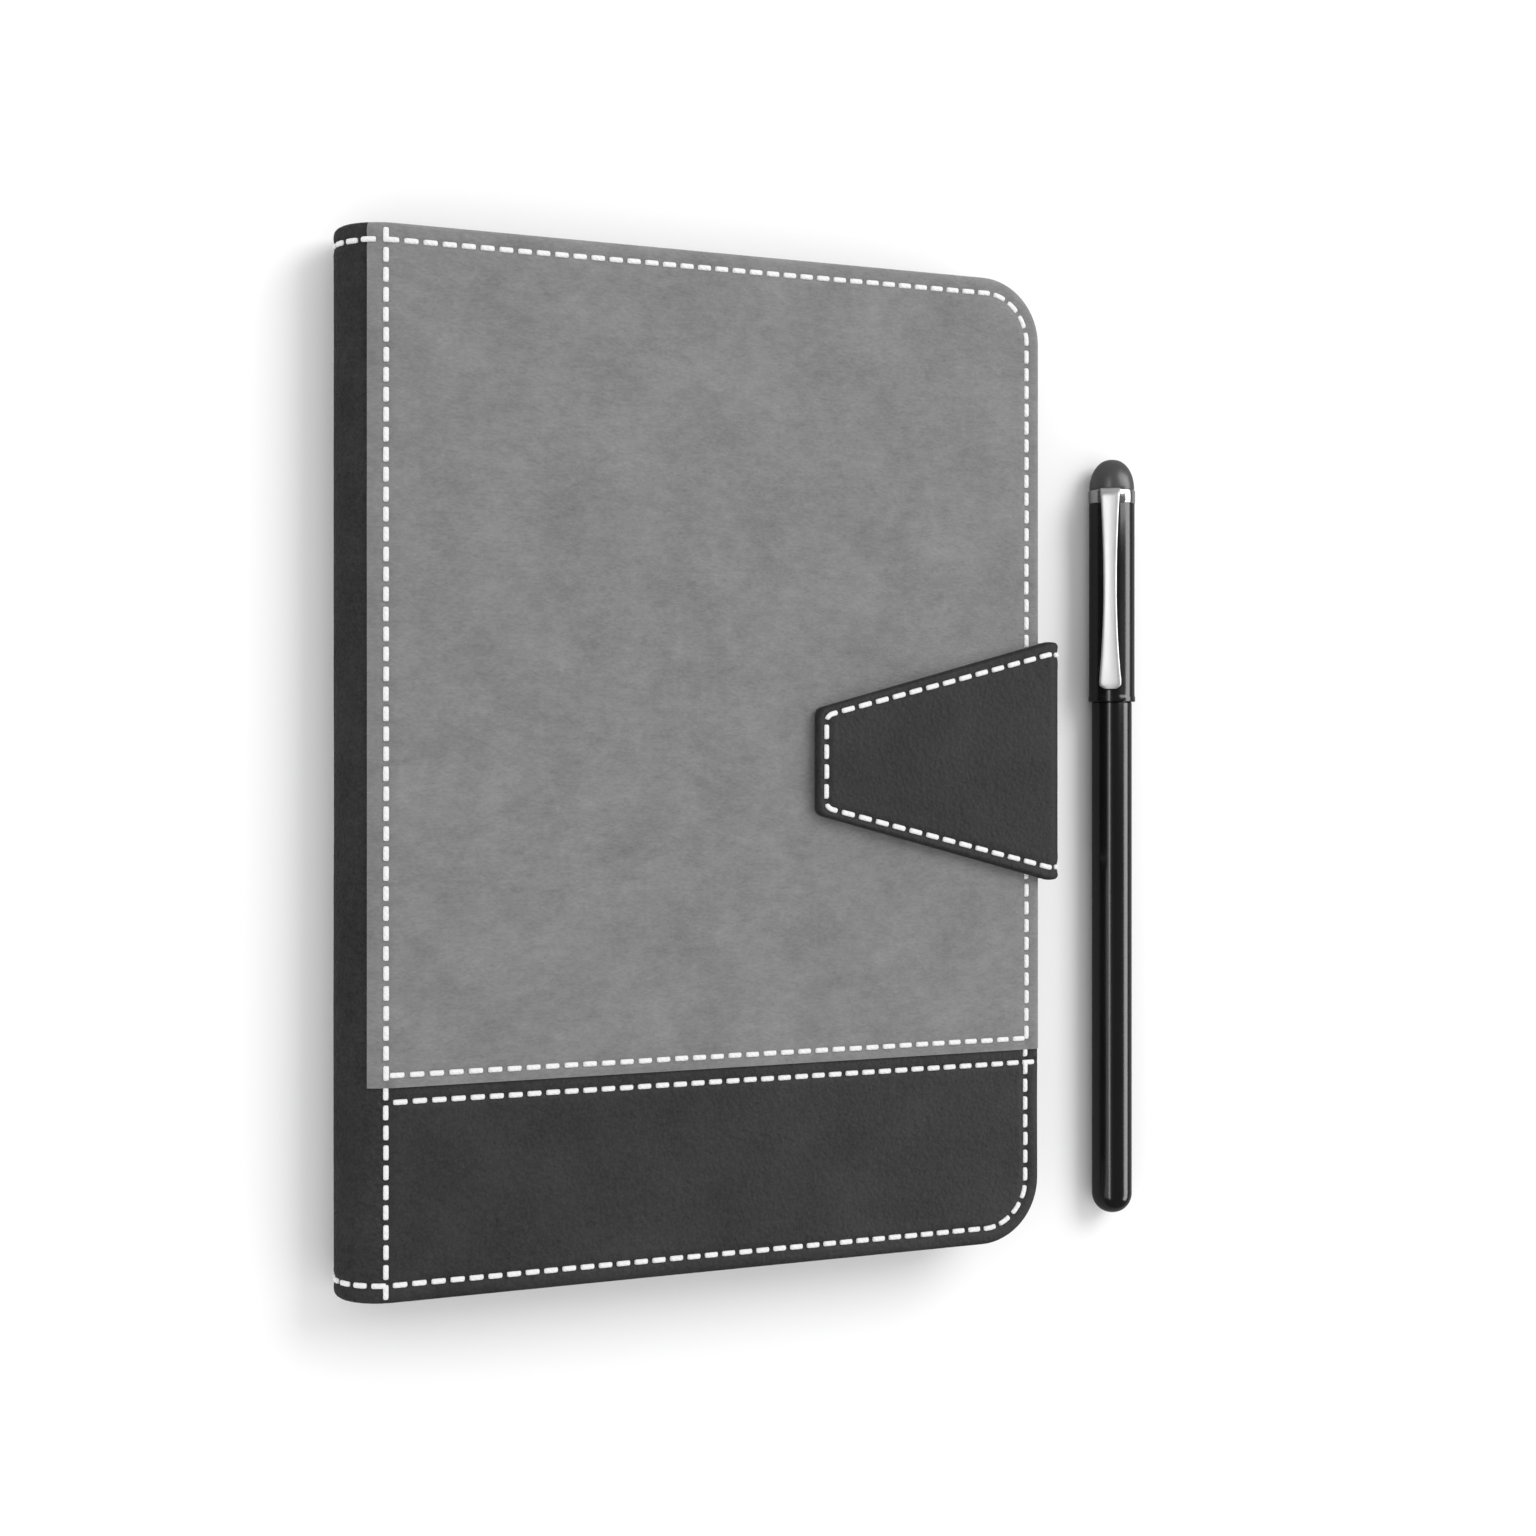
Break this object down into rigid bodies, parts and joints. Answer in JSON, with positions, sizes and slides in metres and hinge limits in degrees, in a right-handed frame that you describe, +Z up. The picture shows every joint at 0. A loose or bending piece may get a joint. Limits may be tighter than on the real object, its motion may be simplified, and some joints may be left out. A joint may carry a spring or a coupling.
{
  "type": "personal digital assistant in a folio with stylus pen",
  "caption": "Closed stitched leather folio with a wrap-round magnetic tab, holding a touch-screen handheld, and a capped stylus pen lying beside it.",
  "frame": {"origin": "centre of the back cover's underside, with the closed folio lying on it", "axes": "+X from the spine to the fore edge, +Y from tail to head, +Z up out of the front cover"},
  "size_m": [0.17, 0.19, 0.0209],
  "materials": {
    "black_leather": "fine grain, semi-matte",
    "grey_suede": "brushed nap, matte",
    "cover_board": "matte",
    "lining_fabric": "microfibre",
    "white_thread": "waxed thread",
    "elastic": "woven elastic",
    "spine_stiffener": "matte",
    "steel_plate": "brushed",
    "magnet_metal": "nickel plated",
    "tray_plastic": "fine spark texture",
    "housing_plastic": "soft-touch",
    "bezel_plastic": "gloss",
    "touch_glass": "polished",
    "display": "satin",
    "gasket_foam": "matte",
    "chassis_metal": "bead blasted",
    "battery_wrap": "foil",
    "circuit_board": "solder mask",
    "plated_steel": "plated",
    "small_plastic": "moulded",
    "flex_film": "polyimide film",
    "key_metal": "anodised",
    "key_plastic": "satin",
    "pen_black": "polished",
    "pen_metal": "satin",
    "pen_ring": "polished",
    "refill_brass": "bright",
    "liner_white": "moulded",
    "dome_rubber": "matte silicone"
  },
  "bodies": {
    "back_cover": {"back_leather": "black_leather", "back_board": "cover_board", "back_lining": "lining_fabric", "back_stitching": "white_thread", "tab_root": "black_leather", "pen_loop": "elastic", "holder_tray": "tray_plastic", "device_housing": "housing_plastic", "front_bezel": "bezel_plastic", "touch_glass": "touch_glass", "screen_gasket": "gasket_foam", "display_panel": "display", "chassis_plate": "chassis_metal", "battery": "battery_wrap", "main_board": "circuit_board", "shield_cans": "plated_steel", "charging_board": "circuit_board", "charging_socket": "plated_steel", "headphone_jack": "small_plastic", "speaker": "small_plastic", "vibration_motor": "plated_steel", "camera_module": "small_plastic", "camera_window": "touch_glass", "display_flex": "flex_film", "board_flex": "flex_film", "key_switches": "plated_steel", "housing_screws": "plated_steel"},
    "spine_lower": {"spine_lower_leather": "black_leather", "spine_lower_slat": "spine_stiffener", "spine_lower_lining": "lining_fabric"},
    "spine_middle": {"spine_middle_leather": "black_leather", "spine_middle_slat": "spine_stiffener", "spine_middle_lining": "lining_fabric"},
    "spine_upper": {"spine_upper_leather": "black_leather", "spine_upper_slat": "spine_stiffener", "spine_upper_lining": "lining_fabric", "spine_upper_panel": "grey_suede"},
    "front_cover": {"front_leather": "black_leather", "front_panel": "grey_suede", "front_board": "cover_board", "front_lining": "lining_fabric", "front_stitching": "white_thread", "keeper_plate": "steel_plate"},
    "tab_strip": {"tab_strip": "black_leather"},
    "tab_flap": {"tab_flap_leather": "black_leather", "tab_flap_lining": "lining_fabric", "tab_magnet": "magnet_metal", "tab_stitching": "white_thread"},
    "home_key": {"home_button": "key_plastic"},
    "power_key": {"power_button": "key_metal"},
    "volume_key": {"volume_rocker": "key_metal"},
    "pen": {"pen_barrel": "pen_black", "pen_grip": "pen_black", "pen_refill": "refill_brass", "pen_end_plug": "pen_black"},
    "cap": {"pen_cap": "pen_black", "cap_liner": "liner_white", "cap_ring": "pen_ring", "stylus_dome": "dome_rubber"},
    "clip": {"pen_clip": "pen_metal"}
  },
  "joints": [
    {"name": "spine_lower_fold", "type": "hinge", "parent": "back_cover", "child": "spine_lower", "pos_m": [-0.06125, 0, 0], "axis": [0, -1, 0], "range_deg": [0, 30]},
    {"name": "spine_middle_fold", "type": "hinge", "parent": "back_cover", "child": "spine_middle", "pos_m": [-0.06723, 0, 0.0016], "axis": [0, -1, 0], "range_deg": [0, 90]},
    {"name": "cover_open", "type": "hinge", "parent": "spine_middle", "child": "front_cover", "pos_m": [-0.06723, 0, 0.0159], "axis": [0, -1, 0], "range_deg": [0, 90]},
    {"name": "spine_upper_fold", "type": "hinge", "parent": "front_cover", "child": "spine_upper", "pos_m": [-0.06125, 0, 0.0175], "axis": [0, 1, 0], "range_deg": [0, 30]},
    {"name": "tab_strip_fold", "type": "hinge", "parent": "back_cover", "child": "tab_strip", "pos_m": [0.0738, 0, 0.0034], "axis": [0, 1, 0], "range_deg": [0, 60]},
    {"name": "tab_flap_fold", "type": "hinge", "parent": "tab_strip", "child": "tab_flap", "pos_m": [0.0704, 0, 0.0206], "axis": [0, 1, 0], "range_deg": [0, 90]},
    {"name": "home_press", "type": "slide", "parent": "back_cover", "child": "home_key", "axis": [0, 0, -1], "range_m": [0, 0.0005], "stiffness_N_per_m": 400},
    {"name": "power_press", "type": "slide", "parent": "back_cover", "child": "power_key", "axis": [0, -1, 0], "range_m": [0, 0.0005], "stiffness_N_per_m": 400},
    {"name": "volume_rock", "type": "hinge", "parent": "back_cover", "child": "volume_key", "pos_m": [0.06265, 0.05, 0.0093], "axis": [0, 0, 1], "range_deg": [-1.5, 1.5], "stiffness_Nm_per_rad": 0.05},
    {"name": "pen_lift", "type": "slide", "parent": "back_cover", "child": "pen", "axis": [0, 0, 1], "range_m": [0, 0.1]},
    {"name": "cap_pull", "type": "slide", "parent": "pen", "child": "cap", "axis": [0, 1, 0], "range_m": [0, 0.045]},
    {"name": "clip_flex", "type": "hinge", "parent": "cap", "child": "clip", "pos_m": [0.09229, 0.0546, 0.00881], "axis": [-0.809, 0, -0.5878], "range_deg": [0, 5], "stiffness_Nm_per_rad": 1.2}
  ],
  "couplings": [
    {"joint": "spine_middle_fold", "follows": "cover_open", "ratio": 1},
    {"joint": "spine_lower_fold", "follows": "cover_open", "ratio": 0.33333},
    {"joint": "spine_upper_fold", "follows": "cover_open", "ratio": 0.33333}
  ]
}
